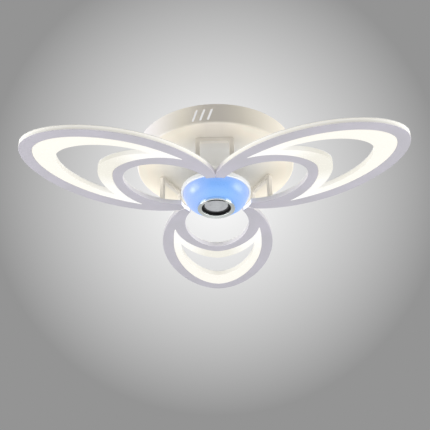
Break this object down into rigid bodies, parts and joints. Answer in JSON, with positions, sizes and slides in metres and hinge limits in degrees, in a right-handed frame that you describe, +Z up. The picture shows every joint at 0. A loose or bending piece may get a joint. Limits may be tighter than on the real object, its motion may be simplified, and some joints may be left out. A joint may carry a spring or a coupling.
{
  "type": "led ceiling light",
  "caption": "Semi-flush LED ceiling light with flat crescent petals, a round canopy and a glowing central speaker pod.",
  "frame": {"origin": "middle of the ceiling face, on the top of the ceiling bar between its two slots", "axes": "+Z up into the ceiling; +X along the ceiling bar; one petal points along +Y and the open side between the other two faces -Y"},
  "size_m": [0.5654, 0.51, 0.1092],
  "materials": {
    "canopy_paint": "satin cream powder coat on pressed steel",
    "bracket_paint": "satin cream powder coat on bent steel bar",
    "frame_finish": "moulded, satin lilac-grey",
    "back_plate_paint": "white powder coat on steel sheet",
    "diffuser_acrylic": "opal acrylic, lit warm white",
    "dome_acrylic": "frosted acrylic, lit pale blue",
    "pod_white": "moulded white",
    "chrome_trim": "polished",
    "black_moulding": "moulded black, satin",
    "diaphragm": "grey coated pulp",
    "surround_rubber": "moulded rubber",
    "basket_steel": "black stamped steel",
    "ferrite": "sintered ferrite",
    "zinc_steel": "zinc plated",
    "brass": "turned",
    "board_white": "white solder mask on aluminium",
    "board_green": "solder mask on glass fibre board",
    "component_black": "moulded components",
    "case_plastic": "moulded white",
    "terminal_plastic": "moulded ivory",
    "former_film": "amber film and copper wire"
  },
  "bodies": {
    "light": {"mounting_bar": "zinc_steel", "canopy_shell": "canopy_paint", "side_screws": "zinc_steel", "led_driver_case": "case_plastic", "led_driver_lid": "case_plastic", "terminal_block": "terminal_plastic", "terminal_screws": "brass", "audio_board": "board_green", "bluetooth_module": "zinc_steel", "audio_components": "component_black", "stud_nuts": "zinc_steel", "bracket_front": "bracket_paint", "bracket_right": "bracket_paint", "bracket_left": "bracket_paint", "bracket_screws": "zinc_steel", "foot_screws": "zinc_steel", "face_screws": "zinc_steel", "petal_frame_rear": "frame_finish", "petal_frame_left": "frame_finish", "petal_frame_right": "frame_finish", "petal_back_rear": "back_plate_paint", "petal_back_left": "back_plate_paint", "petal_back_right": "back_plate_paint", "light_board_rear": "board_white", "light_board_left": "board_white", "light_board_right": "board_white", "petal_diffuser_rear": "diffuser_acrylic", "petal_diffuser_left": "diffuser_acrylic", "petal_diffuser_right": "diffuser_acrylic", "stem_sleeve": "bracket_paint", "threaded_nipple": "brass", "stem_washer": "zinc_steel", "stem_nuts": "zinc_steel", "pod_base": "pod_white", "pod_screws": "zinc_steel", "rgb_board": "board_white", "pod_dome": "dome_acrylic", "trim_ring": "chrome_trim", "speaker_well": "black_moulding", "speaker_basket": "basket_steel", "speaker_surround": "surround_rubber", "speaker_magnet": "ferrite", "speaker_yoke": "zinc_steel"},
    "diaphragm": {"speaker_cone": "diaphragm", "voice_coil": "former_film"}
  },
  "joints": [
    {"name": "diaphragm_travel", "type": "slide", "parent": "light", "child": "diaphragm", "axis": [0, 0, 1], "range_m": [-0.0015, 0.0015], "stiffness_N_per_m": 600}
  ]
}
